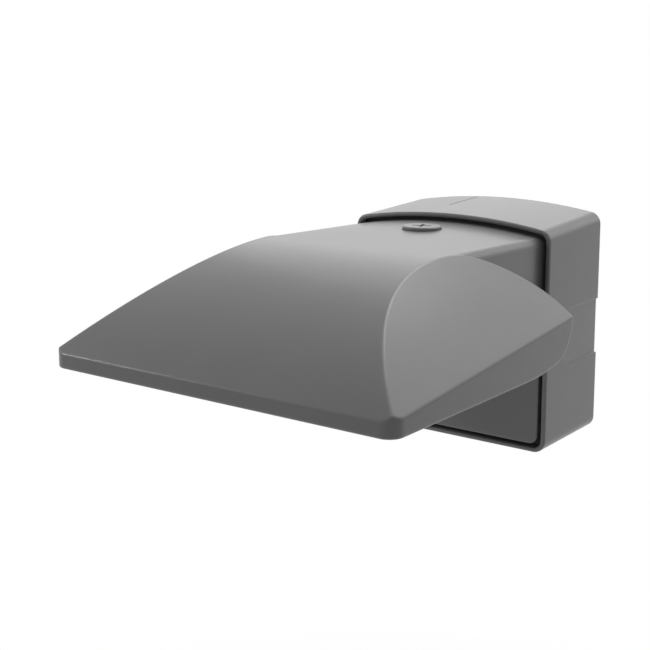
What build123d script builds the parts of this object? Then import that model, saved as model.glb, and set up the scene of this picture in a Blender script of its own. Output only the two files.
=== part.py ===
from build123d import *
import math
import os

# Wall pack light: a cast wall box, a cast head with a wedge visor, and a hinged lens door below.
# Millimetres. X runs across the wall, +Y points into the wall, +Z is up.
# The origin is the centre of the anchor screws on the wall plane.

# ---------------------------------------------------------------- shared clearances
cut_overrun = 1.0
quarter_turn = 90.0
smallest_radius = 1.0
small_corner_radius = 2.0
screw_hole_clearance = 0.2
thread_gap = 0.05
rubber_clearance = 0.3
head_edge_share = 0.3
socket_depth_share = 0.6

# ---------------------------------------------------------------- wall box
box_width = 155.3
box_depth = 78.0
box_bottom = -81.0
box_apex_wall = 81.5
box_apex_front = 76.9
box_arch_radius = 430.0
box_corner_radius = 8.5
box_wall = 3.2
box_back_wall = 5.0
rim_edge_radius = 1.0

junction_screw_spacing = 88.9
junction_hole_radius = 2.6
anchor_spacing_x = 100.0
anchor_spacing_z = 120.0
anchor_hole_radius = 3.5
wire_entry_radius = 11.0

pad_low = -25.0
pad_high = 14.5
pad_length = 54.5
pad_front_radius = 12.0
pad_front_depth = 0.15
pad_wall_depth = 1.3

top_mark_x = -20.0
top_mark_length = 39.0
top_mark_width = 0.9
top_mark_depth = 0.4
top_mark_from_wall = 4.0

wall_gasket_inset = 7.0
wall_gasket_width = 6.0
wall_gasket_thickness = 2.0

# ---------------------------------------------------------------- head: neck and closing plate
reveal_gap = 2.6
neck_corner_radius = 6.0
plate_thickness = 4.0
skirt_depth = 14.0
head_wall = 3.0
reveal_gasket_setback = 6.0
reveal_gasket_depth = 9.0

# ---------------------------------------------------------------- head: visor
visor_width = 244.5
visor_reach = 328.0
crest_height = 68.0
crest_from_wall = 191.6
front_edge_height = 8.92
lead_start_behind_crest = 2.6
lead_radius = 170.0
lead_angle = 11.5
lip_radius = 26.0
front_corner_radius = 9.0
visor_edge_radius = 1.2
facet_front_height = 9.4
facet_across_angle = 39.8
facet_along_angle = 5.84

# ---------------------------------------------------------------- lens door and its opening
visor_rim_wall = 3.0
door_edge_gap = 0.8
door_flange_thickness = 4.0
door_frame_height = 9.0
door_rear_from_crest = 0.4
door_gasket_thickness = 1.2
door_gasket_width = 4.0
door_seal_gap = 0.3
door_inner_gap = 1.0
seal_ledge_width = 6.25
rear_ledge_height = 5.5
glass_frame_width = 13.0
glass_seat_width = 5.5
glass_seat_thickness = 2.5
glass_gasket_thickness = 1.0
glass_thickness = 4.0
glass_edge_gap = 1.0
glass_corner_radius = 4.0

hinge_setback = 4.5
hinge_side_gap = 2.4
hinge_axis_height = 3.5
hinge_spacing = 160.0
knuckle_radius = 3.5
knuckle_width = 12.0
knuckle_side_gap = 0.5
hinge_ear_width = 5.0
hinge_pin_radius = 1.5
hinge_pin_clearance = 0.05
hinge_pocket_gap = 0.9
hinge_pocket_roof = 8.0

captive_screw_radius = 2.0
captive_hole_clearance = 0.5
captive_from_side_edge = 18.25
captive_from_front_edge = 15.5
captive_hole_depth_spare = 1.0
captive_pass_clearance = 0.2
captive_head_clearance = 0.4
captive_engagement = 6.5
captive_head_radius = 4.0
captive_head_height = 3.0
captive_boss_radius = 4.5
captive_boss_gap = 1.2
retaining_washer_thickness = 0.8
retaining_washer_radius = 3.6

clip_length = 16.0
clip_outer_reach = 4.8
clip_width = 12.0
clip_thickness = 1.0
clip_screw_radius = 1.5
clip_screw_depth = 4.5
clip_screw_head_height = 1.0
clip_screw_socket_radius = 1.0
glass_gasket_lip = 1.0

# ---------------------------------------------------------------- lamp pack under the visor
rib_thickness = 2.5
rib_edge_margin = 8.0
rib_count = 7
heat_plate_base = 19.1
heat_plate_thickness = 4.0
heat_plate_side_margin = 30.25
heat_plate_front_margin = 26.0
heat_plate_rear_margin = 16.0
heat_plate_corner_radius = 3.0
heat_plate_screw_inset = 6.0
thermal_pad_thickness = 0.5
led_board_thickness = 1.6
led_board_side_margin = 12.0
led_board_end_margin = 8.0
thermal_pad_margin = 1.0
led_columns = 8
led_rows = 3
led_edge_x = 4.0
led_edge_y = 3.0
led_package_size = 5.0
led_package_height = 0.7
lens_base_thickness = 2.0
lens_gap = 2.6
lens_dome_height = 3.6
lens_base_margin = 3.0
led_pocket_gap = 0.3

small_boss_radius = 4.5
m3_radius = 1.5
m3_socket_radius = 1.2
m3_head_radius = 2.8
m3_head_height = 1.6
m3_length = 6.5
lens_screw_columns = 3
connector_x = 30.0
connector_width = 11.0
connector_length = 9.0
connector_base = 13.2
connector_height = 3.8
led_wire_height = 32.0
led_wire_slope = 12.0
m4_radius = 2.0
m4_head_radius = 3.8
m4_head_height = 2.2
m4_length = 9.0
m4_socket_radius = 1.6

trim_height = 11.6
trim_thickness = 1.0
trim_side_margin = 15.25
trim_front_margin = 23.0
trim_rear_margin = 13.0
trim_corner_radius = 4.0
trim_window_gap = 1.5
trim_screw_inset_x = 10.0
trim_screw_inset_y = 10.0

# ---------------------------------------------------------------- driver in the neck
tray_side_gap = 4.85
tray_front_gap = 3.5
tray_rear_gap = 14.0
tray_thickness = 1.5
tray_height = 12.0
tray_flange_height = 9.0
tray_screw_inset_x = 8.0
tray_screw_inset_y = 7.0
driver_end_gap = 12.0
driver_width = 62.0
driver_height = 32.0
driver_edge_radius = 2.0
driver_ear_length = 9.0
driver_ear_thickness = 3.0
driver_screw_length = 6.0

# ---------------------------------------------------------------- fixings between head and box
box_pillar_side_gap = 0.85
head_screw_low = 12.0
head_screw_high = 44.0
head_screw_radius = 3.0
head_screw_clearance = 0.3
head_screw_length = 22.0
head_screw_head_radius = 5.0
head_screw_head_height = 5.0
head_washer_radius = 5.6
head_washer_thickness = 1.2
box_pillar_radius = 6.0
hook_spacing = 80.0
hook_width = 18.0
hook_thickness = 3.0
hook_reach = 21.0
hook_drop = 6.0
hook_height = 10.0
hook_gap = 0.5
catch_thickness = 3.0

grommet_hole_radius = 11.0
grommet_height = 30.0
grommet_flange = 2.5
grommet_flange_thickness = 1.5
grommet_wall = 2.0

# ---------------------------------------------------------------- entry plug on the neck
plug_from_plate = 34.4
plug_head_radius = 13.1
plug_head_height = 2.0
plug_head_edge = 0.6
plug_shank_radius = 10.2
plug_shank_length = 10.0
plug_hole_gap = 0.15
plug_boss_radius = 15.0
plug_boss_depth = 6.0
plug_cross_length = 13.0
plug_cross_width = 2.2
plug_cross_depth = 1.2
plug_cross_turn = 22.0
oring_radius = 0.6
oring_side_gap = 0.2
plug_seat_depth = 0.6
plug_seat_gap = 0.3

# ---------------------------------------------------------------- supply parts in the wall box
terminal_length = 46.0
terminal_depth = 22.0
terminal_end_depth = 7.4
terminal_well_depth = 5.5
terminal_height = 20.0
terminal_ways = 3
terminal_x = 0.0
terminal_z = 36.0
terminal_port_radius = 2.6
terminal_port_depth = 8.0
surge_length = 48.0
surge_depth = 24.0
surge_height = 30.0
surge_x = 0.0
surge_z = -45.0
surge_ear_length = 8.0
surge_ear_half_width = 5.0
surge_edge_radius = 2.0
surge_ear_thickness = 3.0
ground_screw_x = 34.0
ground_screw_z = -18.0
ground_boss_height = 6.0
standoff_height = 4.0
blind_depth = 3.0
screw_tip_gap = 0.8

wire_radius = 1.3
wire_spacing = 4.0
wire_bend_radius = 8.0
wire_turn_depth = 20.0
wire_drop = 16.0

# ---------------------------------------------------------------- worked out from the sizes above
neck_half_width = box_width / 2 - box_wall - reveal_gap
neck_apex = box_apex_front - box_wall - reveal_gap
neck_arch_radius = box_arch_radius - box_wall - reveal_gap
plate_bottom = box_bottom + box_wall + reveal_gap
plate_front_y = -box_depth
plate_rear_y = plate_front_y + plate_thickness
skirt_rear_y = plate_rear_y + skirt_depth
crest_y = -crest_from_wall
front_y = -visor_reach
front_arc_drop = crest_height - front_edge_height
front_arc_reach = visor_reach - crest_from_wall
front_arc_radius = (front_arc_reach ** 2 + front_arc_drop ** 2) / (2 * front_arc_drop)
box_top_slope = (box_apex_wall - box_apex_front) / box_depth
above_all = 2 * box_apex_wall
head_screw_x = neck_half_width - head_wall - box_pillar_radius - box_pillar_side_gap
lamp_base = heat_plate_base - thermal_pad_thickness
board_base = lamp_base - led_board_thickness
lens_base = board_base - lens_base_thickness
door_half_width = visor_width / 2 - visor_rim_wall - door_edge_gap
door_front_y = front_y + visor_rim_wall + door_edge_gap
door_rear_y = crest_y - door_rear_from_crest
opening_half_width = visor_width / 2 - visor_rim_wall - seal_ledge_width
opening_front_y = front_y + visor_rim_wall + seal_ledge_width
opening_rear_y = door_rear_y - seal_ledge_width - door_inner_gap
ledge_height = door_flange_thickness + door_gasket_thickness + door_seal_gap
frame_half_width = opening_half_width - door_inner_gap
frame_front_y = opening_front_y + door_inner_gap
frame_rear_y = opening_rear_y - door_inner_gap
glass_half_width = frame_half_width - glass_frame_width - glass_edge_gap
glass_front_y = frame_front_y + glass_frame_width - glass_seat_width + glass_edge_gap
glass_rear_y = frame_rear_y - glass_frame_width + glass_seat_width - glass_edge_gap
glass_base = glass_seat_thickness + glass_gasket_thickness
hinge_y = door_rear_y + hinge_setback
hinge_pocket_rear_y = hinge_y + knuckle_radius + hinge_pocket_gap
hinge_length = knuckle_width + 2 * knuckle_side_gap + 2 * hinge_ear_width
captive_base = door_frame_height + captive_boss_gap
heat_plate_top = heat_plate_base + heat_plate_thickness
heat_plate_front_y = front_y + heat_plate_front_margin
heat_plate_rear_y = door_rear_y - heat_plate_rear_margin
heat_plate_half_width = visor_width / 2 - heat_plate_side_margin
rib_pitch = 2 * (heat_plate_half_width - rib_edge_margin) / (rib_count - 1)
board_y = (heat_plate_front_y + heat_plate_rear_y) / 2
board_half_width = heat_plate_half_width - led_board_side_margin
board_half_length = (heat_plate_rear_y - heat_plate_front_y) / 2 - led_board_end_margin
led_pitch_x = 2 * (board_half_width - led_edge_x) / led_columns
led_pitch_y = 2 * (board_half_length - led_edge_y) / led_rows
lens_radius = (min(led_pitch_x, led_pitch_y) - lens_gap) / 2
connector_rear_y = board_y + board_half_length + connector_length - lens_base_margin
trim_top = trim_height + trim_thickness
trim_half_width = visor_width / 2 - trim_side_margin
trim_front_y = front_y + trim_front_margin
trim_rear_y = door_rear_y - trim_rear_margin
tray_half_width = neck_half_width - head_wall - tray_side_gap
tray_front_y = hinge_y + tray_front_gap
tray_rear_y = plate_front_y - tray_rear_gap
tray_top = tray_height + tray_thickness
driver_length = 2 * (tray_half_width - driver_end_gap)
driver_y = (tray_front_y + tray_rear_y) / 2
driver_front_y = driver_y - driver_width / 2
driver_rear_y = driver_y + driver_width / 2
plug_y = plate_front_y - plug_from_plate
plug_share = (plate_front_y - plug_y) / (plate_front_y - crest_y)
plug_top = neck_apex + plug_share * (crest_height - neck_apex)
plug_seat = plug_top - plug_seat_depth
standoff_y = -box_back_wall - standoff_height
ground_boss_y = -box_back_wall - ground_boss_height


# ---------------------------------------------------------------- shared shapes
def span_box(x_low, x_high, y_low, y_high, z_low, z_high):
    """A box given by its limits."""
    size = (x_high - x_low, y_high - y_low, z_high - z_low)
    centre = ((x_high + x_low) / 2, (y_high + y_low) / 2, (z_high + z_low) / 2)
    return Pos(*centre) * Box(*size)


def upright(radius, height, x=0.0, y=0.0, z=0.0):
    """A cylinder that stands on the height z."""
    return Pos(x, y, z + height / 2) * Cylinder(radius, height)


def along_y(radius, length, x, y, z):
    """A cylinder from y towards the wall."""
    return Pos(x, y + length / 2, z) * Rot(quarter_turn, 0, 0) * Cylinder(radius, length)


def along_x(radius, length, x, y, z):
    """A cylinder along X about the middle point."""
    return Pos(x, y, z) * Rot(0, quarter_turn, 0) * Cylinder(radius, length)


def both_sides(shape):
    """A shape and its mirror image across the centre plane."""
    return [shape, mirror(shape, about=Plane.YZ)]


def rounded_slab(half_width, y_low, y_high, z_low, z_high, radius):
    """A flat slab with round corners in plan."""
    plan = RectangleRounded(2 * half_width, y_high - y_low, radius)
    return Pos(0, (y_low + y_high) / 2, z_low) * extrude(plan, z_high - z_low)


def arched_face(y, half_width, low, apex, arch_radius, top_radius, low_radius):
    """An upright section across X with an arched or flat top."""
    side_top = apex
    if arch_radius:
        side_top = apex - arch_radius + math.sqrt(arch_radius ** 2 - half_width ** 2)
    right_top = (half_width, side_top)
    left_top = (-half_width, side_top)
    sides = Polyline(left_top, (-half_width, low), (half_width, low), right_top)
    if arch_radius:
        top = ThreePointArc(right_top, (0, apex), left_top)
    else:
        top = Line(right_top, left_top)
    outline = make_face(sides.edges() + top.edges())
    outline = fillet(outline.vertices().sort_by(Axis.Y)[-2:], top_radius)
    if low_radius:
        outline = fillet(outline.vertices().sort_by(Axis.Y)[:2], low_radius)
    plane = Plane(origin=(0, y, 0), x_dir=(1, 0, 0), z_dir=(0, -1, 0))
    return (plane * outline).face()


def head_screw(shank_radius, length, head_radius, head_height, socket_radius):
    """A pan head screw that points down from the seat at z = 0, with a hexagon socket."""
    body = upright(head_radius, head_height) + upright(shank_radius, length, z=-length)
    top_edges = body.edges().filter_by(GeomType.CIRCLE).group_by(Axis.Z)[-1]
    body = fillet(top_edges, head_height * head_edge_share)
    socket_depth = head_height * socket_depth_share
    socket = extrude(RegularPolygon(socket_radius, 6), socket_depth)
    return body - Pos(0, 0, head_height - socket_depth) * socket


# ---------------------------------------------------------------- wall box
def box_form(inset, y_wall):
    """The wall box's outside moved inwards, from the height y_wall to the rim."""
    half = box_width / 2 - inset
    low = box_bottom + inset
    arch = box_arch_radius - inset
    corner = max(box_corner_radius - inset, smallest_radius)
    wall_apex = box_apex_wall + box_top_slope * y_wall - inset
    front_apex = box_apex_front - inset
    sections = [
        arched_face(y_wall, half, low, wall_apex, arch, corner, corner),
        arched_face(-box_depth, half, low, front_apex, arch, corner, corner),
    ]
    return loft(sections, ruled=True)


def conduit_pad():
    """The cutter of one blank conduit pad, a shallow flat that deepens towards the wall."""
    height = pad_high - pad_low
    reach = pad_length + box_wall
    outline = Rectangle(reach, height)
    front_corners = outline.vertices().group_by(Axis.X)[0]
    outline = fillet(front_corners, pad_front_radius)
    cutter = extrude(outline, box_wall)
    tilt = math.degrees(math.atan((pad_wall_depth - pad_front_depth) / pad_length))
    plane = Plane(
        origin=(box_width / 2 - pad_front_depth, -pad_length, (pad_low + pad_high) / 2),
        x_dir=(0, 1, 0),
        z_dir=(1, 0, 0),
    )
    return plane * Rot(0, tilt, 0) * Pos(reach / 2, 0, 0) * cutter


def box_pillar_places():
    """Where the four head screws meet the wall box, as (x, z)."""
    sides = (-head_screw_x, head_screw_x)
    return [(x, z) for x in sides for z in (head_screw_low, head_screw_high)]


def wall_box():
    shell = box_form(0, 0.0) - box_form(box_wall, -box_back_wall)
    rim_edges = shell.edges().filter_by(Plane.XZ).group_by(Axis.Y)[0]
    shell = fillet(rim_edges, rim_edge_radius)
    for cutter in both_sides(conduit_pad()):
        shell -= cutter
    cavity = box_form(box_wall / 2, -box_back_wall / 2)
    extras = []
    for x, z in box_pillar_places():
        pillar_length = -plate_rear_y - box_back_wall / 2
        extras.append(along_y(box_pillar_radius, pillar_length, x, plate_rear_y, z))
        web_high = z + catch_thickness / 2
        side = math.copysign(box_width / 2, x)
        web_x = sorted((x, side))
        web = span_box(web_x[0], web_x[1], skirt_rear_y + hook_gap, -box_back_wall / 2,
                       web_high - catch_thickness, web_high)
        extras.append(web & cavity)
    for x in (-hook_spacing / 2, hook_spacing / 2):
        catch_top = plate_bottom + hook_height - hook_gap
        catch_rear = plate_rear_y + hook_reach - hook_thickness - hook_gap
        catch = span_box(x - hook_width, x + hook_width, catch_rear - catch_thickness, catch_rear,
                         box_bottom + box_wall / 2, catch_top)
        extras.append(catch & cavity)
    for x, z in terminal_screw_places() + surge_screw_places():
        extras.append(along_y(small_boss_radius, standoff_height + box_back_wall / 2,
                              x, standoff_y, z))
    extras.append(along_y(small_boss_radius, ground_boss_height + box_back_wall / 2,
                          ground_screw_x, ground_boss_y, ground_screw_z))
    for extra in extras:
        shell += extra
    holes = []
    for x, z in box_pillar_places():
        holes.append(along_y(head_screw_radius + thread_gap, head_screw_length, x, plate_rear_y, z))
    for x, z in terminal_screw_places() + surge_screw_places():
        holes.append(along_y(m4_radius + thread_gap, standoff_height + blind_depth,
                             x, standoff_y, z))
    holes.append(along_y(m4_radius + thread_gap, ground_boss_height + blind_depth,
                         ground_screw_x, ground_boss_y, ground_screw_z))
    through = box_back_wall + 2 * box_wall
    for x in (-junction_screw_spacing / 2, junction_screw_spacing / 2):
        holes.append(along_y(junction_hole_radius, through, x, -box_back_wall - box_wall, 0))
    for x in (-anchor_spacing_x / 2, anchor_spacing_x / 2):
        for z in (-anchor_spacing_z / 2, anchor_spacing_z / 2):
            holes.append(along_y(anchor_hole_radius, through, x, -box_back_wall - box_wall, z))
    holes.append(along_y(wire_entry_radius, through, 0, -box_back_wall - box_wall, 0))
    holes.append(wall_gasket())
    holes.append(top_mark())
    for hole in holes:
        shell -= hole
    return shell


def top_mark():
    """The cutter of the fine line on the box's sloping top."""
    tilt = math.degrees(math.atan(box_top_slope))
    centre_y = -top_mark_from_wall - top_mark_length / 2
    drop = box_arch_radius - math.sqrt(box_arch_radius ** 2 - top_mark_x ** 2)
    surface = box_apex_wall + box_top_slope * centre_y - drop
    cutter = Box(top_mark_width, top_mark_length, 2 * top_mark_depth)
    return Pos(top_mark_x, centre_y, surface) * Rot(tilt, 0, 0) * cutter


def gasket_form(inset):
    """The wall gasket's outline, filled, moved inwards from the box's outside."""
    corner = max(box_corner_radius - inset, smallest_radius)
    apex = box_apex_wall - box_top_slope * wall_gasket_thickness - inset
    outline = arched_face(0, box_width / 2 - inset, box_bottom + inset, apex,
                          box_arch_radius - inset, corner, corner)
    return extrude(outline, wall_gasket_thickness)


def wall_gasket():
    return gasket_form(wall_gasket_inset) - gasket_form(wall_gasket_inset + wall_gasket_width)


# ---------------------------------------------------------------- head
def neck_face(y, inset, low):
    """The neck's section at the wall box. Its lower corners are round where it is the plate."""
    corner = max(neck_corner_radius - inset, smallest_radius)
    return arched_face(y, neck_half_width - inset, low, neck_apex - inset,
                       neck_arch_radius - inset, corner, corner if low < 0 else 0)


def neck_form(inset):
    """The neck: arched at the wall box, flat where it meets the visor's crest."""
    corner = max(neck_corner_radius - inset, smallest_radius)
    crest = arched_face(crest_y, neck_half_width - inset, inset, crest_height - inset, 0, corner, 0)
    return loft([neck_face(plate_front_y, inset, inset), crest], ruled=True)


def visor_profile(inset):
    """The visor's side profile in the YZ plane, moved inwards."""
    front = front_y + inset
    front_centre = (crest_y, crest_height - front_arc_radius)
    lead_centre = (crest_y + lead_start_behind_crest, lead_radius)
    lead = math.radians(lead_angle)
    lip_centre = (
        lead_centre[0] + (lead_radius - lip_radius) * math.sin(lead),
        lead_centre[1] - (lead_radius - lip_radius) * math.cos(lead),
    )
    across = lip_centre[0] - crest_y
    below = lip_centre[1] - crest_height
    rear_radius = (lip_radius ** 2 - across ** 2 - below ** 2) / (2 * (below + lip_radius))
    rear_centre = (crest_y, crest_height - rear_radius)
    lip_end = math.degrees(math.atan2(lip_centre[1] - rear_centre[1], across))
    front_end = math.degrees(math.acos((front - crest_y) / (front_arc_radius - inset)))
    with BuildSketch(Plane.YZ) as sketch:
        with BuildLine():
            lead_arc = CenterArc(lead_centre, lead_radius - inset, -quarter_turn, lead_angle)
            CenterArc(lip_centre, lip_radius - inset, lead_angle - quarter_turn,
                      lip_end - lead_angle + quarter_turn)
            CenterArc(rear_centre, rear_radius - inset, lip_end, quarter_turn - lip_end)
            front_arc = CenterArc(front_centre, front_arc_radius - inset, quarter_turn,
                                  front_end - quarter_turn)
            Polyline(front_arc @ 1, (front, inset), lead_arc @ 0)
        make_face()
    return sketch.sketch.face()


def facet_plane(inset):
    """The plane of the right end facet, moved inwards."""
    across = math.tan(math.radians(facet_across_angle))
    along = math.tan(math.radians(facet_along_angle))
    normal = Vector(across, -along, 1).normalized()
    point = Vector(visor_width / 2, front_y, facet_front_height) - normal * inset
    return Plane(origin=point, x_dir=(0, 1, along), z_dir=normal)


def facet_cutters(inset):
    size = 2 * visor_reach
    block = facet_plane(inset) * Pos(0, 0, size / 2) * Box(size, size, size)
    return both_sides(block)


def visor_form(inset):
    """The wide wedge visor without the neck."""
    half = visor_width / 2 - inset
    body = Pos(-half, 0, 0) * extrude(visor_profile(inset), 2 * half)
    corners = body.edges().filter_by(Axis.Z).group_by(Axis.Y)[0]
    body = fillet(corners, max(front_corner_radius - inset, smallest_radius))
    for cutter in facet_cutters(inset):
        body -= cutter
    return body


def softened_visor():
    """The visor with the small radius that the casting has on its upper edges."""
    body = visor_form(0)
    facets = [face for face in body.faces().filter_by(GeomType.PLANE)
              if 0 < face.normal_at().Z < 1 - front_corner_radius / visor_reach]
    edges = [edge for face in facets for edge in face.edges()]
    corner_rear_y = front_y + front_corner_radius
    edges += [edge for edge in body.edges()
              if edge.center().Y < corner_rear_y and edge.center().Z > facet_front_height * 0.9
              and not any(edge.is_same(other) for other in edges)]
    return fillet(edges, visor_edge_radius)


def captive_places():
    """Where the two captive screws of the lens door stand, as (x, y)."""
    x = visor_width / 2 - captive_from_side_edge
    y = front_y + captive_from_front_edge
    return [(-x, y), (x, y)]


def heat_plate_screw_places():
    x = heat_plate_half_width - heat_plate_screw_inset
    y_front = heat_plate_front_y + heat_plate_screw_inset
    y_rear = heat_plate_rear_y - heat_plate_screw_inset
    return [(side * x, y) for side in (-1, 1) for y in (y_front, y_rear)]


def trim_screw_places():
    x = trim_half_width - trim_screw_inset_x
    y_front = trim_front_y + trim_screw_inset_y
    y_rear = trim_rear_y - trim_screw_inset_y
    return [(side * x, y) for side in (-1, 1) for y in (y_front, y_rear)]


def tray_screw_places():
    x = tray_half_width - tray_screw_inset_x
    y_front = tray_front_y + tray_screw_inset_y
    y_rear = tray_rear_y - tray_screw_inset_y
    return [(side * x, y) for side in (-1, 1) for y in (y_front, y_rear)]


def hinge_places():
    return [-hinge_spacing / 2, hinge_spacing / 2]


def closing_plate():
    """The plate that closes the wall box, with a skirt that reaches into its rim."""
    plate = extrude(neck_face(plate_front_y, 0, plate_bottom), -plate_thickness - skirt_depth)
    recess = neck_face(plate_rear_y, head_wall, plate_bottom + head_wall)
    return plate - extrude(recess, -skirt_depth)


def head_hollow():
    """The space inside the neck and the visor, open to the lens door below."""
    hollow = visor_form(head_wall) + neck_form(head_wall)
    hollow &= span_box(-opening_half_width, opening_half_width, opening_front_y, plate_front_y,
                       0, above_all)
    rear_ledge = span_box(-visor_width / 2, visor_width / 2, opening_rear_y,
                          hinge_pocket_rear_y + head_wall, 0, ledge_height + rear_ledge_height)
    return hollow - rear_ledge


def door_recess():
    """The recess that the lens door fills, and the way through it into the head."""
    recess = rounded_slab(visor_width / 2 - visor_rim_wall, front_y + visor_rim_wall,
                          door_rear_y + hinge_side_gap, -cut_overrun, ledge_height,
                          front_corner_radius - visor_rim_wall)
    return recess + rounded_slab(opening_half_width, opening_front_y, opening_rear_y,
                                 0, ledge_height + rear_ledge_height, small_corner_radius)


def roof_supports():
    """Ribs over the heat plate and bosses for the screws, all from the roof down."""
    supports = []
    for index in range(rib_count):
        x = (index - (rib_count - 1) / 2) * rib_pitch
        supports.append(span_box(x - rib_thickness / 2, x + rib_thickness / 2,
                                 heat_plate_front_y, heat_plate_rear_y, heat_plate_top, above_all))
    bosses = [(x, y, heat_plate_top, small_boss_radius) for x, y in heat_plate_screw_places()]
    bosses += [(x, y, trim_top, small_boss_radius) for x, y in trim_screw_places()]
    bosses += [(x, y, captive_base, captive_boss_radius) for x, y in captive_places()]
    for x, y, base, radius in bosses:
        supports.append(upright(radius, above_all, x, y, base))
    return supports


def hinge_pocket(x):
    """The cutter that makes room for one knuckle and its two ears."""
    return span_box(x - hinge_length / 2, x + hinge_length / 2, door_rear_y - door_edge_gap,
                    hinge_pocket_rear_y, -cut_overrun, hinge_pocket_roof)


def hinge_ears(x):
    """The two ears that hold one hinge pin."""
    ears = []
    for side in (-1, 1):
        ear_x = x + side * (hinge_length - hinge_ear_width) / 2
        ear = span_box(ear_x - hinge_ear_width / 2, ear_x + hinge_ear_width / 2,
                       hinge_y - knuckle_radius, hinge_y + knuckle_radius,
                       hinge_axis_height, hinge_pocket_roof + cut_overrun)
        ears.append(ear + along_x(knuckle_radius, hinge_ear_width, ear_x, hinge_y, hinge_axis_height))
    return ears


def plug_boss():
    base = plug_top - head_wall - plug_boss_depth
    return upright(plug_boss_radius, 2 * plug_boss_depth, 0, plug_y, base)


def hook(x):
    """One hook of the closing plate, which drops behind a catch in the wall box."""
    base = plate_bottom + hook_height
    hook_rear_y = plate_rear_y + hook_reach
    arm = span_box(x - hook_width / 2, x + hook_width / 2, plate_rear_y - cut_overrun,
                   hook_rear_y, base, base + hook_thickness)
    tip = span_box(x - hook_width / 2, x + hook_width / 2, hook_rear_y - hook_thickness,
                   hook_rear_y, base - hook_drop, base + hook_thickness)
    return arm + tip


def head_holes():
    """The cutters of all round holes in the head."""
    holes = []
    plate_cut_y = plate_front_y - plate_thickness / 2
    for x, z in box_pillar_places():
        holes.append(along_y(head_screw_radius + head_screw_clearance, 2 * plate_thickness,
                             x, plate_cut_y, z))
    holes.append(along_y(grommet_hole_radius, 2 * plate_thickness, 0, plate_cut_y, grommet_height))
    screw_holes = [(x, y, heat_plate_top) for x, y in heat_plate_screw_places()]
    screw_holes += [(x, y, trim_top) for x, y in trim_screw_places()]
    screw_holes += [(x, y, tray_top - m4_length) for x, y in tray_screw_places()]
    for x, y, z in screw_holes:
        holes.append(upright(m4_radius + thread_gap, m4_length, x, y, z))
    for x, y in captive_places():
        holes.append(upright(captive_screw_radius + captive_hole_clearance,
                             captive_engagement + captive_hole_depth_spare, x, y, captive_base))
    for x in hinge_places():
        holes.append(along_x(hinge_pin_radius, hinge_length, x, hinge_y, hinge_axis_height))
    holes.append(upright(plug_shank_radius + plug_hole_gap, 4 * plug_boss_depth,
                         0, plug_y, plug_top - 3 * plug_boss_depth))
    holes.append(upright(plug_head_radius + plug_seat_gap, plug_boss_depth, 0, plug_y, plug_seat))
    return holes


def head_casting():
    head = softened_visor() + neck_form(0) + closing_plate()
    head -= head_hollow()
    head -= door_recess()
    roof = visor_form(head_wall / 2)
    for support in roof_supports():
        head += support & roof
    for x, y in tray_screw_places():
        head += upright(small_boss_radius, tray_height - head_wall / 2, x, y, head_wall / 2)
    head += plug_boss() & neck_form(head_wall / 2)
    for x in hinge_places():
        head -= hinge_pocket(x)
        for ear in hinge_ears(x):
            head += ear
    for hole in head_holes():
        head -= hole
    for x in (-hook_spacing / 2, hook_spacing / 2):
        head += hook(x)
    return head


# ---------------------------------------------------------------- seals and fixings
def reveal_gasket():
    y_front = plate_front_y + reveal_gasket_setback
    y_rear = y_front + reveal_gasket_depth
    slab = span_box(-box_width, box_width, y_front, y_rear, 2 * box_bottom, 2 * box_apex_wall)
    skirt = extrude(neck_face(plate_front_y, 0, plate_bottom), -plate_thickness - skirt_depth)
    return (box_form(box_wall, -box_back_wall) & slab) - skirt


def head_screws():
    screw = head_screw(head_screw_radius, head_screw_length, head_screw_head_radius,
                       head_screw_head_height, head_screw_radius)
    seat = plate_front_y - head_washer_thickness
    return [Pos(x, seat, z) * Rot(quarter_turn, 0, 0) * screw for x, z in box_pillar_places()]


def head_washers():
    ring = Cylinder(head_washer_radius, head_washer_thickness)
    ring -= Cylinder(head_screw_radius + screw_hole_clearance, head_washer_thickness)
    seat = plate_front_y - head_washer_thickness / 2
    return [Pos(x, seat, z) * Rot(quarter_turn, 0, 0) * ring for x, z in box_pillar_places()]


def wire_grommet():
    outer = grommet_hole_radius
    body = Cylinder(outer, plate_thickness)
    flange = Cylinder(outer + grommet_flange, grommet_flange_thickness)
    shift = (plate_thickness + grommet_flange_thickness) / 2
    body += Pos(0, 0, shift) * flange
    body += Pos(0, 0, -shift) * flange
    body -= Cylinder(outer - grommet_wall, 3 * plate_thickness)
    return Pos(0, plate_front_y + plate_thickness / 2, grommet_height) * Rot(quarter_turn, 0, 0) * body


def entry_plug():
    thickness = plug_head_height + plug_seat_depth
    head = upright(plug_head_radius, thickness)
    head = chamfer(head.edges().group_by(Axis.Z)[-1], plug_head_edge)
    groove_inner = plug_shank_radius + oring_side_gap
    groove = upright(groove_inner + 2 * oring_radius + oring_side_gap, 2 * oring_radius)
    head -= groove - upright(groove_inner - oring_side_gap, 2 * oring_radius)
    head += upright(plug_shank_radius, plug_shank_length, z=-plug_shank_length)
    arm = Box(plug_cross_length, plug_cross_width, 2 * plug_cross_depth)
    head -= Pos(0, 0, thickness) * Rot(0, 0, plug_cross_turn) * (arm + Rot(0, 0, quarter_turn) * arm)
    return Pos(0, plug_y, plug_seat) * head


def entry_plug_oring():
    ring = Torus(plug_shank_radius + oring_side_gap + oring_radius, oring_radius)
    return Pos(0, plug_y, plug_seat + oring_radius) * ring


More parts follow.
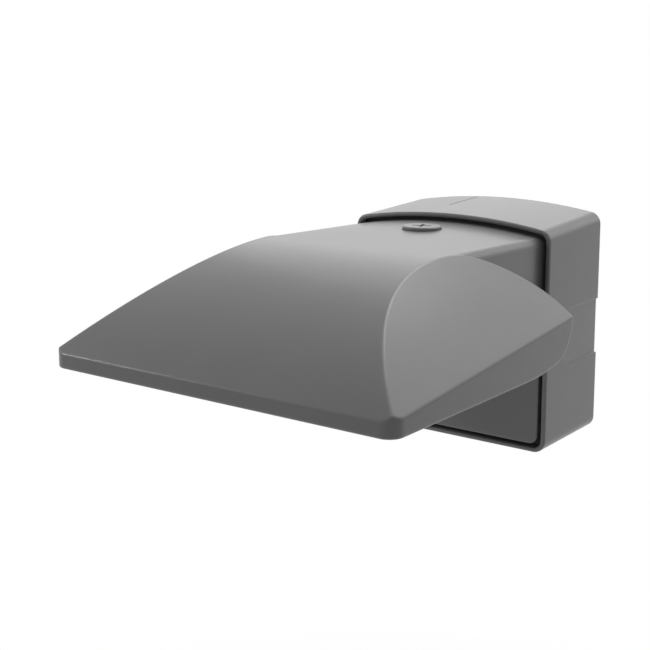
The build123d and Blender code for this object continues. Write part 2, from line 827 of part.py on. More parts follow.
# ---------------------------------------------------------------- lamp pack
def heat_plate():
    plate = rounded_slab(heat_plate_half_width, heat_plate_front_y, heat_plate_rear_y,
                         heat_plate_base, heat_plate_top, heat_plate_corner_radius)
    cut_base = heat_plate_base - cut_overrun
    for x, y in heat_plate_screw_places():
        plate -= upright(m4_radius + screw_hole_clearance, 2 * heat_plate_thickness, x, y, cut_base)
    for x, y in lens_screw_places():
        plate -= upright(m3_radius + thread_gap, heat_plate_thickness, x, y, cut_base)
    return plate


def m4_screw(length=m4_length):
    return head_screw(m4_radius, length, m4_head_radius, m4_head_height, m4_socket_radius)


def heat_plate_screws():
    screw = Rot(180, 0, 0) * m4_screw()
    return [Pos(x, y, heat_plate_base) * screw for x, y in heat_plate_screw_places()]


def board_slab(z_low, z_high, margin=0.0):
    """A slab with the LED board's outline, moved inwards by the margin."""
    half_length = board_half_length - margin
    return rounded_slab(board_half_width - margin, board_y - half_length, board_y + half_length,
                        z_low, z_high, small_corner_radius)


def lens_screw_cutters():
    """Holes for the lens screws through everything under the heat plate."""
    base = lens_base - cut_overrun
    height = heat_plate_base + cut_overrun - base
    return [upright(m3_radius + thread_gap, height, x, y, base) for x, y in lens_screw_places()]


def thermal_pad():
    return board_slab(lamp_base, heat_plate_base, thermal_pad_margin) - lens_screw_cutters()


def led_places():
    """The grid of light points, as (x, y)."""
    places = []
    for row in range(led_rows):
        for column in range(led_columns):
            x = (column - (led_columns - 1) / 2) * led_pitch_x
            y = board_y + (row - (led_rows - 1) / 2) * led_pitch_y
            places.append((x, y))
    return places


def led_board():
    return board_slab(board_base, lamp_base) - lens_screw_cutters()


def led_packages():
    height = led_package_height
    return [Pos(x, y, board_base - height / 2) * Box(led_package_size, led_package_size, height)
            for x, y in led_places()]


def lens_dome():
    """One lens, a cap of a sphere that hangs down from z = 0."""
    sphere_radius = (lens_radius ** 2 + lens_dome_height ** 2) / (2 * lens_dome_height)
    profile = Plane.XZ * make_face([
        Line((0, 0), (lens_radius, 0)),
        RadiusArc((lens_radius, 0), (0, -lens_dome_height), sphere_radius),
        Line((0, -lens_dome_height), (0, 0)),
    ])
    return revolve(profile, Axis.Z)


def lens_array():
    array = board_slab(lens_base, board_base, lens_base_margin)
    pocket_size = led_package_size + 2 * led_pocket_gap
    pocket_depth = led_package_height + led_pocket_gap
    pocket = Pos(0, 0, board_base - pocket_depth / 2) * Box(pocket_size, pocket_size, pocket_depth)
    for x, y in led_places():
        array += Pos(x, y, lens_base) * lens_dome()
        array -= Pos(x, y, 0) * pocket
    return array - lens_screw_cutters()


def lens_screw_places():
    """Between the lenses, as (x, y)."""
    columns = (-lens_screw_columns, 0, lens_screw_columns)
    rows = (-led_pitch_y / 2, led_pitch_y / 2)
    return [(column * led_pitch_x, board_y + row) for column in columns for row in rows]


def lens_screws():
    screw = Rot(180, 0, 0) * head_screw(m3_radius, m3_length, m3_head_radius, m3_head_height,
                                        m3_socket_radius)
    return [Pos(x, y, lens_base) * screw for x, y in lens_screw_places()]


def led_connector():
    return span_box(connector_x - connector_width / 2, connector_x + connector_width / 2,
                    connector_rear_y - connector_length, connector_rear_y,
                    connector_base, board_base)


def reflector_trim():
    sheet = rounded_slab(trim_half_width, trim_front_y, trim_rear_y, trim_height, trim_top,
                         trim_corner_radius)
    gap = trim_window_gap - lens_base_margin
    sheet -= board_slab(trim_height - cut_overrun, trim_top + cut_overrun, -gap)
    for x, y in trim_screw_places():
        sheet -= upright(m4_radius + screw_hole_clearance, 4 * trim_thickness,
                         x, y, trim_height - cut_overrun)
    return sheet


def trim_screws():
    screw = Rot(180, 0, 0) * m4_screw()
    return [Pos(x, y, trim_height) * screw for x, y in trim_screw_places()]


# ---------------------------------------------------------------- driver in the neck
def driver_tray():
    """A flat tray with a folded edge on each side."""
    half = tray_half_width
    tray = span_box(-half, half, tray_front_y, tray_rear_y, tray_height, tray_top)
    for edge in both_sides(span_box(half - tray_thickness, half, tray_front_y, tray_rear_y,
                                    tray_height, tray_height + tray_flange_height)):
        tray += edge
    cut_base = tray_height - cut_overrun
    for x, y in tray_screw_places():
        tray -= upright(m4_radius + screw_hole_clearance, 4 * tray_thickness, x, y, cut_base)
    for x, y in driver_screw_places():
        tray -= upright(m4_radius + thread_gap, 4 * tray_thickness, x, y, cut_base)
    return tray


def tray_screws():
    return [Pos(x, y, tray_top) * m4_screw() for x, y in tray_screw_places()]


def driver_screw_places():
    x = driver_length / 2 + driver_ear_length / 2
    return [(-x, driver_y), (x, driver_y)]


def led_driver():
    """The driver's closed case with a fixing ear at each end."""
    case = Box(driver_length, driver_width, driver_height)
    case = fillet(case.edges().filter_by(Axis.Z), driver_edge_radius)
    case = fillet(case.faces().sort_by(Axis.Z)[-1].edges(), driver_edge_radius)
    driver = Pos(0, driver_y, tray_top + driver_height / 2) * case
    ear_half = driver_length / 2 + driver_ear_length
    driver += span_box(-ear_half, ear_half, driver_y - driver_ear_length,
                       driver_y + driver_ear_length, tray_top, tray_top + driver_ear_thickness)
    for x, y in driver_screw_places():
        driver -= upright(m4_radius + screw_hole_clearance, 2 * driver_ear_thickness,
                          x, y, tray_top - cut_overrun)
    return driver


def driver_screws():
    seat = tray_top + driver_ear_thickness
    return [Pos(x, y, seat) * m4_screw(driver_screw_length) for x, y in driver_screw_places()]


def led_wire(side):
    """One of the two wires from the driver down to the board connector."""
    drop_start = hinge_y + knuckle_radius
    low = connector_base + connector_height / 2
    x = connector_x + side * wire_spacing / 2
    return wire_run([
        (x, driver_front_y, led_wire_height),
        (x, drop_start, led_wire_height),
        (x, drop_start - led_wire_slope, low),
        (x, connector_rear_y, low),
    ])


def led_plus_wire():
    return led_wire(1)


def led_minus_wire():
    return led_wire(-1)


# ---------------------------------------------------------------- supply parts in the wall box
def terminal_screw_places():
    x = terminal_length / 2 - small_boss_radius
    return [(terminal_x - x, terminal_z), (terminal_x + x, terminal_z)]


def surge_screw_places():
    x = surge_length / 2 + surge_ear_length / 2
    return [(surge_x - x, surge_z), (surge_x + x, surge_z)]


def terminal_way_x(way):
    """The middle of one way of the terminal block."""
    clear_length = terminal_length - 4 * small_boss_radius
    return terminal_x + (way - (terminal_ways - 1) / 2) * clear_length / terminal_ways


def terminal_block():
    """A screw terminal block, stepped at its ends, with wire ports above and below."""
    half = terminal_length / 2
    low = terminal_z - terminal_height / 2
    high = terminal_z + terminal_height / 2
    front = standoff_y - terminal_depth
    block = span_box(terminal_x - half, terminal_x + half, standoff_y - terminal_end_depth,
                     standoff_y, low, high)
    middle_half = half - 2 * small_boss_radius
    block += span_box(terminal_x - middle_half, terminal_x + middle_half, front, standoff_y,
                      low, high)
    for way in range(terminal_ways):
        x = terminal_way_x(way)
        for port_z in (low + terminal_port_depth / 2, high - terminal_port_depth / 2):
            port = Cylinder(terminal_port_radius, terminal_port_depth)
            block -= Pos(x, terminal_port_y(), port_z) * port
        block -= along_y(terminal_port_radius, terminal_well_depth, x, front, terminal_z)
    for x, z in terminal_screw_places():
        block -= along_y(m4_radius + screw_hole_clearance, terminal_depth, x, front, z)
    return block


def terminal_port_y():
    return standoff_y - terminal_depth / 2


def terminal_screws():
    length = terminal_end_depth + standoff_height + blind_depth - screw_tip_gap
    screw = Rot(quarter_turn, 0, 0) * m4_screw(length)
    seat = standoff_y - terminal_end_depth
    return [Pos(x, seat, z) * screw for x, z in terminal_screw_places()]


def surge_protector():
    """A potted block with a fixing ear at each end."""
    case = Box(surge_length, surge_depth, surge_height)
    case = fillet(case.edges().filter_by(Axis.Y), surge_edge_radius)
    block = Pos(surge_x, standoff_y - surge_depth / 2, surge_z) * case
    ear_half = surge_length / 2 + surge_ear_length
    ear_front = standoff_y - surge_ear_thickness
    block += span_box(surge_x - ear_half, surge_x + ear_half, ear_front, standoff_y,
                      surge_z - surge_ear_half_width, surge_z + surge_ear_half_width)
    for x, z in surge_screw_places():
        block -= along_y(m4_radius + screw_hole_clearance, 2 * surge_ear_thickness,
                         x, ear_front - surge_ear_thickness, z)
    return block


def surge_screws():
    length = surge_ear_thickness + standoff_height + blind_depth - screw_tip_gap
    screw = Rot(quarter_turn, 0, 0) * m4_screw(length)
    seat = standoff_y - surge_ear_thickness
    return [Pos(x, seat, z) * screw for x, z in surge_screw_places()]


def ground_screw():
    screw = m4_screw(ground_boss_height + blind_depth - screw_tip_gap)
    return Pos(ground_screw_x, ground_boss_y, ground_screw_z) * Rot(quarter_turn, 0, 0) * screw


def wire_run(points):
    """A wire along straight runs joined by tangent arcs."""
    path = FilletPolyline(*points, radius=wire_bend_radius)
    start = points[0]
    along = Vector(*points[1]) - Vector(*start)
    section = Plane(origin=start, z_dir=along) * Circle(wire_radius)
    return sweep(section, path=path)


def line_wire(way):
    """One wire from the terminal block through the grommet to the driver."""
    port_z = terminal_z - terminal_height / 2 + terminal_port_depth / 2
    way_x = terminal_way_x(way)
    shift = (way - (terminal_ways - 1) / 2) * wire_spacing
    return wire_run([
        (way_x, terminal_port_y(), port_z),
        (way_x, terminal_port_y(), grommet_height - wire_drop),
        (shift, plate_rear_y + wire_turn_depth, grommet_height),
        (shift, driver_rear_y, grommet_height),
    ])


def live_wire():
    return line_wire(0)


def neutral_wire():
    return line_wire(1)


def ground_wire():
    return line_wire(2)


# ---------------------------------------------------------------- lens door
def door_window(inset, z_low, z_high):
    """A slab with the glass's outline, moved inwards by the inset."""
    return rounded_slab(glass_half_width - inset, glass_front_y + inset, glass_rear_y - inset,
                        z_low, z_high, glass_corner_radius)


def door_frame():
    """A flat flange with a raised rail round the glass, two knuckles and the screw holes."""
    flange = rounded_slab(door_half_width, door_front_y, door_rear_y, 0, door_flange_thickness,
                          front_corner_radius - visor_rim_wall - door_edge_gap)
    rail = rounded_slab(frame_half_width, frame_front_y, frame_rear_y, 0, door_frame_height,
                        small_corner_radius)
    frame = flange + rail
    frame -= door_window(-glass_edge_gap, glass_seat_thickness, door_frame_height + cut_overrun)
    frame -= door_window(glass_seat_width, -cut_overrun, door_frame_height)
    for x in hinge_places():
        frame += span_box(x - knuckle_width / 2, x + knuckle_width / 2, door_rear_y, hinge_y,
                          0, knuckle_radius + hinge_axis_height)
        frame += along_x(knuckle_radius, knuckle_width, x, hinge_y, hinge_axis_height)
        frame -= along_x(hinge_pin_radius + hinge_pin_clearance, 2 * knuckle_width,
                         x, hinge_y, hinge_axis_height)
    for x, y in captive_places():
        frame -= upright(captive_screw_radius + captive_pass_clearance, 2 * door_frame_height,
                         x, y, -cut_overrun)
        frame -= upright(captive_head_radius + captive_head_clearance, captive_head_height, x, y, 0)
    for x, y in clip_places():
        frame -= upright(clip_screw_radius + thread_gap, clip_screw_depth,
                         x, y, door_frame_height - clip_screw_depth)
    return frame


def clip_places():
    """Where the glass clips are screwed to the door frame, as (x, y)."""
    side_x = glass_half_width + glass_edge_gap + glass_frame_width / 2
    middle = (glass_front_y + glass_rear_y) / 2
    reach = (glass_rear_y - glass_front_y) / 4
    return [(side * side_x, middle + shift) for side in (-1, 1) for shift in (-reach, reach)]


def glass_clips():
    """Flat clips with a lip that hold the glass down."""
    clips = []
    base = door_frame_height
    for x, y in clip_places():
        side = math.copysign(1, x)
        outer = x + side * clip_outer_reach
        inner = outer - side * clip_length
        lip_edge = inner + side * clip_thickness
        clip = span_box(min(outer, inner), max(outer, inner), y - clip_width / 2, y + clip_width / 2,
                        base, base + clip_thickness)
        clip += span_box(min(inner, lip_edge), max(inner, lip_edge),
                         y - clip_width / 2, y + clip_width / 2,
                         glass_base + glass_thickness, base + clip_thickness)
        clip -= upright(clip_screw_radius + screw_hole_clearance, 4 * clip_thickness,
                        x, y, base - cut_overrun)
        clips.append(clip)
    return clips


def clip_screws():
    screw = head_screw(clip_screw_radius, clip_screw_depth + clip_thickness - screw_tip_gap,
                       m3_head_radius, clip_screw_head_height, clip_screw_socket_radius)
    return [Pos(x, y, door_frame_height + clip_thickness) * screw for x, y in clip_places()]


def door_glass():
    return door_window(0, glass_base, glass_base + glass_thickness)


def glass_gasket():
    lip = glass_seat_width - glass_gasket_lip
    return (door_window(0, glass_seat_thickness, glass_base)
            - door_window(lip, glass_seat_thickness, glass_base))


def door_gasket():
    """A flat ring on the door's flange, round the raised rail."""
    top = door_flange_thickness + door_gasket_thickness
    rings = []
    for width in (rubber_clearance + door_gasket_width, rubber_clearance):
        rings.append(rounded_slab(frame_half_width + width, frame_front_y - width,
                                  frame_rear_y + width, door_flange_thickness, top,
                                  small_corner_radius + width))
    return rings[0] - rings[1]


def captive_screws():
    """The door's screws, with their heads sunk into the flange from below."""
    length = door_frame_height - captive_head_height + captive_boss_gap + captive_engagement
    screw = upright(captive_screw_radius, length, z=captive_head_height)
    screw += upright(captive_head_radius, captive_head_height)
    socket = RegularPolygon(captive_screw_radius, 6)
    screw -= extrude(socket, captive_head_height * socket_depth_share)
    return [Pos(x, y, 0) * screw for x, y in captive_places()]


def retaining_washers():
    ring = upright(retaining_washer_radius, retaining_washer_thickness)
    ring -= upright(captive_screw_radius, retaining_washer_thickness)
    return [Pos(x, y, door_frame_height) * ring for x, y in captive_places()]


def hinge_pins():
    return [along_x(hinge_pin_radius, hinge_length, x, hinge_y, hinge_axis_height)
            for x in hinge_places()]


NODES = {
    "wall_box": wall_box,
    "wall_gasket": wall_gasket,
    "head_casting": head_casting,
    "reveal_gasket": reveal_gasket,
    "head_screws": head_screws,
    "head_washers": head_washers,
    "wire_grommet": wire_grommet,
    "entry_plug": entry_plug,
    "entry_plug_oring": entry_plug_oring,
    "heat_plate": heat_plate,
    "heat_plate_screws": heat_plate_screws,
    "thermal_pad": thermal_pad,
    "led_board": led_board,
    "led_packages": led_packages,
    "lens_screws": lens_screws,
    "led_connector": led_connector,
    "lens_array": lens_array,
    "reflector_trim": reflector_trim,
    "trim_screws": trim_screws,
    "driver_tray": driver_tray,
    "tray_screws": tray_screws,
    "led_driver": led_driver,
    "driver_screws": driver_screws,
    "led_plus_wire": led_plus_wire,
    "led_minus_wire": led_minus_wire,
    "terminal_block": terminal_block,
    "terminal_screws": terminal_screws,
    "surge_protector": surge_protector,
    "surge_screws": surge_screws,
    "ground_screw": ground_screw,
    "live_wire": live_wire,
    "neutral_wire": neutral_wire,
    "ground_wire": ground_wire,
    "hinge_pins": hinge_pins,
    "door_frame": door_frame,
    "door_glass": door_glass,
    "glass_gasket": glass_gasket,
    "door_gasket": door_gasket,
    "glass_clips": glass_clips,
    "clip_screws": clip_screws,
    "captive_screws": captive_screws,
    "retaining_washers": retaining_washers,
}


def main():
    os.makedirs("parts", exist_ok=True)
    for name, make in NODES.items():
        made = make()
        solids = made if isinstance(made, list) else [made]
        shape = solids[0] if len(solids) == 1 else Compound(children=solids)
        export_step(shape, "parts/" + name + ".step")
        print(name, round(shape.volume / 1000, 2), "cm3")


main()
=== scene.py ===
import math

import bpy
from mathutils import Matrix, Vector

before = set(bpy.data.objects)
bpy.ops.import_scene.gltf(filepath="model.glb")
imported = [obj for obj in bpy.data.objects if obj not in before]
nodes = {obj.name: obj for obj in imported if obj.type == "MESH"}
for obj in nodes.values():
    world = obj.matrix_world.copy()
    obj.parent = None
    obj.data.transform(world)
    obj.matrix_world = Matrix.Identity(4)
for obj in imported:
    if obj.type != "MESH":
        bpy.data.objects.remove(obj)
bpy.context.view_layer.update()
scene = bpy.context.scene


# ---------------------------------------------------------------- sizes and colours
def mm(value):
    """Millimetres in metres."""
    return value / 1000


def per_mm(value):
    """The pattern scale that gives features of this many millimetres."""
    return 1 / mm(value)


def linear(code):
    """An sRGB hex colour as linear red, green, blue and full opacity."""
    shares = [int(code[i:i + 2], 16) / 255 for i in (1, 3, 5)]
    return [s / 12.92 if s <= 0.04045 else ((s + 0.055) / 1.055) ** 2.4 for s in shares] + [1.0]


# ---------------------------------------------------------------- node helpers
def add(tree, kind, inputs, **settings):
    """Adds a node, sets it up, and fills its inputs with values or links."""
    node = tree.nodes.new(kind)
    for name, value in settings.items():
        setattr(node, name, value)
    for name, value in inputs.items():
        if isinstance(value, bpy.types.NodeSocket):
            tree.links.new(value, node.inputs[name])
        else:
            node.inputs[name].default_value = value
    return node


def new_material(name):
    """An empty material, its node tree and its place in the row frame as a socket."""
    material = bpy.data.materials.new(name)
    material.use_nodes = True
    tree = material.node_tree
    tree.nodes.clear()
    place = add(tree, "ShaderNodeTexCoord", {}).outputs["Object"]
    return material, tree, place


def finish_material(material, tree, shader):
    """Gives the material its surface and hands it back."""
    add(tree, "ShaderNodeOutputMaterial", {"Surface": shader.outputs[0]})
    return material


def noise(tree, place, size, detail=2.0, stretch=(1, 1, 1)):
    """Noise whose features are this many millimetres across, stretched along the axes."""
    spread = add(tree, "ShaderNodeMapping", {"Vector": place, "Scale": stretch})
    return add(tree, "ShaderNodeTexNoise", {
        "Vector": spread.outputs[0],
        "Scale": per_mm(size),
        "Detail": detail,
    }).outputs["Fac"]


def between(tree, value, low, high):
    """A value from 0 to 1 spread from low to high."""
    return add(tree, "ShaderNodeMapRange", {
        "Value": value, "To Min": low, "To Max": high}).outputs[0]


def shades(tree, value, stops):
    """A colour ramp from (place, hex colour) stops."""
    ramp = add(tree, "ShaderNodeValToRGB", {"Fac": value})
    for element, (spot, code) in zip(ramp.color_ramp.elements, stops, strict=True):
        element.position = spot
        element.color = linear(code)
    return ramp.outputs["Color"]


def relief(tree, height, depth, normal=None):
    """A bump whose full depth is given in millimetres."""
    inputs = {"Height": height, "Distance": mm(depth), "Strength": 1.0}
    if normal is not None:
        inputs["Normal"] = normal
    return add(tree, "ShaderNodeBump", inputs).outputs[0]


# ---------------------------------------------------------------- finishes
# Pattern sizes and relief depths are in millimetres.
def powder_coat(name, light, dark, edge_radius):
    """Satin polyester powder coat, baked on cast aluminium: an even grey with a very fine grain
    and a faint orange peel, and soft edges where the coat rounds the casting. The grain is drawn
    coarser than the real powder, so that it shows."""
    material, tree, place = new_material(name)
    cloud = noise(tree, place, size=45.0, detail=3.0)
    grain = noise(tree, place, size=0.55)
    peel = noise(tree, place, size=2.6, detail=1.0)
    soft_edges = add(tree, "ShaderNodeBevel", {"Radius": mm(edge_radius)}, samples=8).outputs[0]
    grained = relief(tree, grain, depth=0.03, normal=soft_edges)
    return finish_material(material, tree, add(tree, "ShaderNodeBsdfPrincipled", {
        "Base Color": shades(tree, cloud, [(0.3, dark), (0.7, light)]),
        "Roughness": between(tree, grain, low=0.30, high=0.44),
        "IOR": 1.5,
        "Coat Weight": 0.2,
        "Coat Roughness": 0.16,
        "Normal": relief(tree, peel, depth=0.035, normal=grained),
        "Coat Normal": soft_edges,
    }))


def closed_cell_foam():
    """Closed-cell rubber foam, skived: a dull black with small round pores, with painted shade
    that darkens their pits.
    """
    material, tree, place = new_material("closed_cell_foam")
    pores = add(tree, "ShaderNodeTexVoronoi", {
        "Vector": place, "Scale": per_mm(0.8)}).outputs["Distance"]
    return finish_material(material, tree, add(tree, "ShaderNodeBsdfPrincipled", {
        # The pore pattern darkens the colour towards each pit's bottom: painted shade in the
        # pores.
        "Base Color": shades(tree, pores, [(0.1, "#151515"), (0.6, "#2b2b2b")]),
        "Roughness": 0.92,
        "Normal": relief(tree, pores, depth=0.12),
    }))


def silicone_rubber():
    """Moulded silicone rubber: near black, silky, with faint flow marks and dust."""
    material, tree, place = new_material("silicone_rubber")
    dust = noise(tree, place, size=6.0, detail=4.0)
    return finish_material(material, tree, add(tree, "ShaderNodeBsdfPrincipled", {
        "Base Color": shades(tree, dust, [(0.35, "#1c1c1d"), (0.75, "#2a2a2b")]),
        "Roughness": between(tree, dust, low=0.52, high=0.68),
        "IOR": 1.41,
        "Normal": relief(tree, noise(tree, place, size=0.9), depth=0.02),
    }))


def drawn_metal(name, light, dark, rough_low, rough_high, stretch):
    """Drawn or rolled metal: fine scratches along the working direction vary its gloss, under a
    faint stain. They are drawn coarser than real ones, so that they show."""
    material, tree, place = new_material(name)
    lines = noise(tree, place, size=0.35, detail=3.0, stretch=stretch)
    stain = noise(tree, place, size=14.0, detail=3.0)
    return finish_material(material, tree, add(tree, "ShaderNodeBsdfPrincipled", {
        "Base Color": shades(tree, stain, [(0.3, dark), (0.7, light)]),
        "Metallic": 1.0,
        "Roughness": between(tree, lines, rough_low, rough_high),
        "Normal": relief(tree, lines, depth=0.008),
    }))


def zinc_plated_sheet():
    """Zinc-plated steel sheet: bright grey with a faint bluish spangle."""
    material, tree, place = new_material("zinc_plated_sheet")
    spangle = add(tree, "ShaderNodeTexVoronoi", {"Vector": place, "Scale": per_mm(7.0)})
    spread = add(tree, "ShaderNodeSeparateColor", {"Color": spangle.outputs["Color"]}).outputs[0]
    return finish_material(material, tree, add(tree, "ShaderNodeBsdfPrincipled", {
        "Base Color": shades(tree, spread, [(0.0, "#aeb4ba"), (1.0, "#c9cdd0")]),
        "Metallic": 1.0,
        "Roughness": between(tree, spread, low=0.30, high=0.44),
        "Normal": relief(tree, noise(tree, place, size=1.2), depth=0.01),
    }))


def moulded_plastic(name, light, dark, rough, index, grain_depth):
    """Moulded plastic: even colour with slight sink shading and a fine mould grain, which is
    drawn coarser than a real one, so that it shows."""
    material, tree, place = new_material(name)
    sink = noise(tree, place, size=9.0)
    grain = noise(tree, place, size=0.5)
    rough_swing = 0.05
    return finish_material(material, tree, add(tree, "ShaderNodeBsdfPrincipled", {
        "Base Color": shades(tree, sink, [(0.3, dark), (0.7, light)]),
        "Roughness": between(tree, grain, rough - rough_swing, rough + rough_swing),
        "IOR": index,
        "Normal": relief(tree, grain, grain_depth),
    }))


def baked_enamel(name, light, dark):
    """Gloss white enamel baked on steel sheet: smooth with a low orange peel."""
    material, tree, place = new_material(name)
    cloud = noise(tree, place, size=30.0)
    peel = noise(tree, place, size=1.8, detail=1.0)
    return finish_material(material, tree, add(tree, "ShaderNodeBsdfPrincipled", {
        "Base Color": shades(tree, cloud, [(0.3, dark), (0.7, light)]),
        "Roughness": between(tree, peel, low=0.20, high=0.28),
        "IOR": 1.5,
        "Normal": relief(tree, peel, depth=0.02),
    }))


def solder_mask():
    """White solder mask on an aluminium board: glossy, with the copper tracks just raised."""
    material, tree, place = new_material("white_solder_mask")
    cloud = noise(tree, place, size=12.0)
    tracks = add(tree, "ShaderNodeTexBrick", {
        "Vector": place,
        "Scale": per_mm(24.0),
        "Mortar Size": 0.03,
        "Mortar Smooth": 0.4,
    }).outputs["Fac"]
    return finish_material(material, tree, add(tree, "ShaderNodeBsdfPrincipled", {
        "Base Color": shades(tree, cloud, [(0.3, "#e6e8e6"), (0.7, "#f1f2f0")]),
        "Roughness": 0.32,
        "IOR": 1.52,
        "Normal": relief(tree, tracks, depth=0.05),
    }))


def phosphor():
    """Yellow phosphor in silicone over the light chips: a warm, dense, slightly grainy yellow.
    The grain is drawn coarser than the real powder, so that it shows."""
    material, tree, place = new_material("led_phosphor")
    grain = noise(tree, place, size=0.25, detail=3.0)
    return finish_material(material, tree, add(tree, "ShaderNodeBsdfPrincipled", {
        "Base Color": shades(tree, grain, [(0.3, "#e3bf3c"), (0.7, "#f0d463")]),
        "Roughness": 0.45,
        "IOR": 1.41,
        "Normal": relief(tree, grain, depth=0.02),
    }))


def thermal_silicone():
    """Glass-reinforced silicone pad: dull grey-blue with a close weave under the surface."""
    material, tree, place = new_material("thermal_silicone")
    weave = add(tree, "ShaderNodeTexChecker", {
        "Vector": place, "Scale": per_mm(0.9)}).outputs["Fac"]
    return finish_material(material, tree, add(tree, "ShaderNodeBsdfPrincipled", {
        "Base Color": shades(tree, weave, [(0.0, "#8a949e"), (1.0, "#98a1aa")]),
        "Roughness": 0.88,
        "Normal": relief(tree, weave, depth=0.03),
    }))


def clear_acrylic():
    """Injection-moulded acrylic: water clear, with faint flow waves that bend the light."""
    material, tree, place = new_material("clear_acrylic")
    flow = noise(tree, place, size=5.0, detail=1.0)
    return finish_material(material, tree, add(tree, "ShaderNodeBsdfPrincipled", {
        "Base Color": linear("#f7fafa"),
        "Roughness": between(tree, flow, low=0.02, high=0.06),
        "IOR": 1.49,
        "Transmission Weight": 1.0,
        "Normal": relief(tree, flow, depth=0.02),
    }))


def tempered_glass():
    """Tempered soda-lime glass: clear with a green cast and the faint ripple of tempering."""
    material, tree, place = new_material("tempered_glass")
    ripple = noise(tree, place, size=28.0, detail=1.0)
    return finish_material(material, tree, add(tree, "ShaderNodeBsdfPrincipled", {
        "Base Color": linear("#eff7f2"),
        "Roughness": between(tree, ripple, low=0.0, high=0.02),
        "IOR": 1.52,
        "Transmission Weight": 1.0,
        "Normal": relief(tree, ripple, depth=0.03),
    }))


# ---------------------------------------------------------------- pieces and their finishes
coat_light, coat_dark = "#808081", "#7c7c7d"
box_coat = powder_coat("satin_powder_coat_on_box", coat_light, coat_dark, edge_radius=2.2)
casting_coat = powder_coat("satin_powder_coat", coat_light, coat_dark, edge_radius=2.4)
door_coat = powder_coat("satin_powder_coat_on_door", coat_light, coat_dark, edge_radius=1.3)
plug_coat = powder_coat("plug_powder_coat", "#7d7d7e", "#797979", edge_radius=1.6)

foam = closed_cell_foam()
rubber = silicone_rubber()

along_x = (0.03, 1, 1)
along_z = (1, 1, 0.05)
stainless = drawn_metal("stainless_steel", "#c6c4bf", "#b5b3ae",
                        rough_low=0.22, rough_high=0.34, stretch=along_z)
spring = drawn_metal("spring_steel", "#9b9ea2", "#85888c",
                     rough_low=0.28, rough_high=0.40, stretch=along_x)
green_steel = drawn_metal("green_passivated_steel", "#3f8a4c", "#2f7440",
                          rough_low=0.34, rough_high=0.46, stretch=along_z)
aluminium = drawn_metal("rolled_aluminium", "#cfd1d3", "#bfc1c4",
                        rough_low=0.30, rough_high=0.44, stretch=along_x)
zinc = zinc_plated_sheet()

white_nylon = moulded_plastic("white_nylon", "#e9e7df", "#dfdcd2",
                              rough=0.45, index=1.53, grain_depth=0.02)
driver_paint = moulded_plastic("driver_case_paint", "#d4d5d4", "#c9cac9",
                               rough=0.48, index=1.50, grain_depth=0.03)
potting_case = moulded_plastic("black_potted_case", "#191a1d", "#131416",
                               rough=0.30, index=1.54, grain_depth=0.02)
insulation = {"rough": 0.40, "index": 1.54, "grain_depth": 0.01}
black_wire = moulded_plastic("black_insulation", "#1d1d1e", "#161617", **insulation)
white_wire = moulded_plastic("white_insulation", "#e8e8e6", "#dcdcda", **insulation)
green_wire = moulded_plastic("green_insulation", "#2f8a44", "#27783a", **insulation)
red_wire = moulded_plastic("red_insulation", "#b02a26", "#9c231f", **insulation)

reflector_white = baked_enamel("white_baked_enamel", "#f2f2ef", "#eaeae6")
board_white = solder_mask()
led_yellow = phosphor()
pad_grey = thermal_silicone()
acrylic = clear_acrylic()
glass = tempered_glass()

FINISHES = {
    box_coat: ["wall_box"],
    casting_coat: ["head_casting"],
    door_coat: ["door_frame"],
    plug_coat: ["entry_plug"],
    foam: ["wall_gasket"],
    rubber: ["reveal_gasket", "entry_plug_oring", "wire_grommet", "door_gasket", "glass_gasket"],
    stainless: ["head_screws", "head_washers", "heat_plate_screws", "lens_screws", "trim_screws",
                "tray_screws", "driver_screws", "terminal_screws", "surge_screws", "clip_screws",
                "captive_screws", "retaining_washers", "hinge_pins"],
    spring: ["glass_clips"],
    green_steel: ["ground_screw"],
    aluminium: ["heat_plate"],
    zinc: ["driver_tray"],
    white_nylon: ["led_connector", "terminal_block"],
    driver_paint: ["led_driver"],
    potting_case: ["surge_protector"],
    black_wire: ["live_wire", "led_minus_wire"],
    white_wire: ["neutral_wire"],
    green_wire: ["ground_wire"],
    red_wire: ["led_plus_wire"],
    reflector_white: ["reflector_trim"],
    board_white: ["led_board"],
    led_yellow: ["led_packages"],
    pad_grey: ["thermal_pad"],
    acrylic: ["lens_array"],
    glass: ["door_glass"],
}
for material, names in FINISHES.items():
    for name in names:
        for slot in nodes[name].material_slots:
            slot.material = material


# ---------------------------------------------------------------- studio
# Lengths are in metres unless the name says otherwise, lamp powers in watts.
room_fill = 0.12
room_white = 1.0

floor_half = 6.0
floor_height = -1.35
floor_glow = 0.68
fade_starts = 1.7
fade_ends = 2.6

lamp_aim = (0.0, -0.15, 0.0)

photo_width_pixels = 650
focal_length_pixels = 1197.905
camera_place_mm = (426.482, -786.796, 176.769)
camera_azimuth_degrees = 36.963
camera_pitch_degrees = 9.145
camera_shift_y = -0.10


def seen_directly(tree):
    """1 for what the camera sees directly, in a mirror finish or through glass, otherwise 0."""
    path = add(tree, "ShaderNodeLightPath", {})
    shown = add(tree, "ShaderNodeMath", {
        0: path.outputs["Is Camera Ray"], 1: path.outputs["Is Glossy Ray"]}, operation="MAXIMUM")
    return add(tree, "ShaderNodeMath", {
        0: shown.outputs[0], 1: path.outputs["Is Transmission Ray"]},
        operation="MAXIMUM").outputs[0]


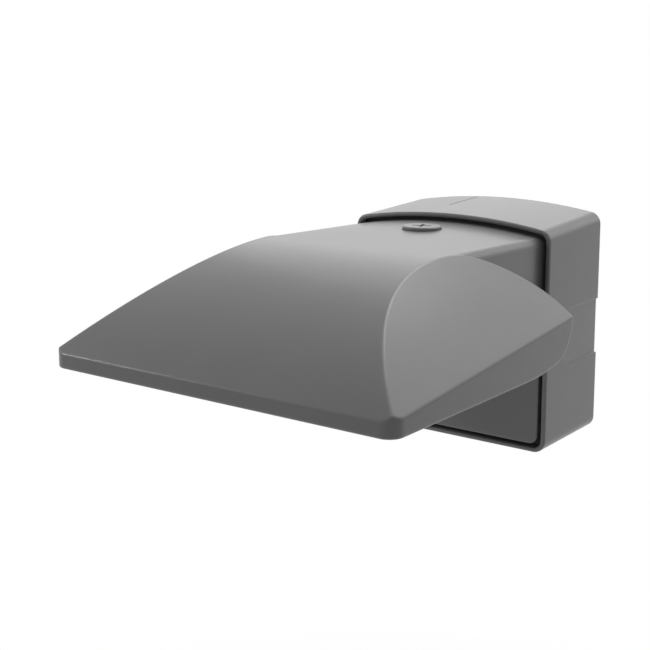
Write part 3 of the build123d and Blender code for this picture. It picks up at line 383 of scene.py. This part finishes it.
def studio_air():
    """The room: white where it is seen, and a soft fill light from all round."""
    world = bpy.data.worlds.new("studio_air")
    scene.world = world
    world.use_nodes = True
    tree = world.node_tree
    tree.nodes.clear()
    fill = add(tree, "ShaderNodeBackground", {"Color": linear("#ffffff"), "Strength": room_fill})
    white = add(tree, "ShaderNodeBackground", {"Color": linear("#ffffff"), "Strength": room_white})
    mixed = add(tree, "ShaderNodeMixShader", {
        0: seen_directly(tree), 1: fill.outputs[0], 2: white.outputs[0]})
    add(tree, "ShaderNodeOutputWorld", {"Surface": mixed.outputs[0]})


def studio_floor():
    """A plain pale floor well below the fixture, which hangs on a wall when it is in use. It
    takes the light's shadow, and fades to the room's white farther out."""
    corners = [(-floor_half, -floor_half, floor_height), (floor_half, -floor_half, floor_height),
               (floor_half, floor_half, floor_height), (-floor_half, floor_half, floor_height)]
    mesh = bpy.data.meshes.new("studio_floor")
    mesh.from_pydata(corners, [], [(0, 1, 2, 3)])
    floor = bpy.data.objects.new("studio_floor", mesh)
    scene.collection.objects.link(floor)
    material, tree, place = new_material("studio_paper")
    mottle = noise(tree, place, size=300.0)
    paper = add(tree, "ShaderNodeBsdfDiffuse", {
        "Color": shades(tree, mottle, [(0.3, "#eeeeee"), (0.7, "#f1f1f1")])})
    glow = add(tree, "ShaderNodeEmission", {"Color": linear("#ffffff"), "Strength": floor_glow})
    lifted = add(tree, "ShaderNodeAddShader", {0: paper.outputs[0], 1: glow.outputs[0]})
    white = add(tree, "ShaderNodeEmission", {"Color": linear("#ffffff"), "Strength": room_white})
    reach = add(tree, "ShaderNodeVectorMath", {0: place}, operation="LENGTH").outputs["Value"]
    fade = add(tree, "ShaderNodeMapRange", {
        "Value": reach, "From Min": fade_starts, "From Max": fade_ends}).outputs[0]
    backdrop = add(tree, "ShaderNodeMixShader", {
        0: fade, 1: lifted.outputs[0], 2: white.outputs[0]})
    shown = add(tree, "ShaderNodeMixShader", {
        0: seen_directly(tree), 1: paper.outputs[0], 2: backdrop.outputs[0]})
    mesh.materials.append(finish_material(material, tree, shown))


def softbox(name, place, width, power):
    """A square area lamp that faces the fixture."""
    light = bpy.data.lights.new(name, "AREA")
    light.shape = "SQUARE"
    light.size = width
    light.energy = power
    lamp = bpy.data.objects.new(name, light)
    lamp.location = place
    lamp.visible_camera = False
    lamp.rotation_euler = (Vector(lamp_aim) - Vector(place)).to_track_quat("-Z", "Y").to_euler()
    scene.collection.objects.link(lamp)


def photo_camera():
    """The photograph's camera: in front, to the right and just above the fixture."""
    azimuth, pitch = math.radians(camera_azimuth_degrees), math.radians(camera_pitch_degrees)
    ahead = Vector((-math.sin(azimuth) * math.cos(pitch), math.cos(azimuth) * math.cos(pitch),
                    -math.sin(pitch)))
    data = bpy.data.cameras.new("photo_camera")
    data.sensor_width = 36.0
    data.lens = focal_length_pixels * data.sensor_width / photo_width_pixels
    data.shift_y = camera_shift_y
    camera = bpy.data.objects.new("photo_camera", data)
    camera.location = [mm(value) for value in camera_place_mm]
    camera.rotation_euler = ahead.to_track_quat("-Z", "Y").to_euler()
    scene.collection.objects.link(camera)
    scene.camera = camera


studio_air()
studio_floor()
softbox("overhead_softbox", place=(0.0, -0.1, 1.5), width=1.4, power=4.4)
softbox("rear_top_softbox", place=(0.0, 0.7, 1.3), width=0.8, power=7.2)
softbox("rear_left_softbox", place=(-0.9, 1.3, 0.95), width=1.2, power=2.4)
softbox("rear_right_softbox", place=(0.9, 1.3, 0.95), width=1.2, power=4.4)
softbox("front_left_softbox", place=(-1.16, -1.05, 0.61), width=0.22, power=3.2)
softbox("floor_bounce", place=(0.0, -0.3, -0.58), width=1.2, power=0.8)
photo_camera()

scene.view_settings.view_transform = "Standard"
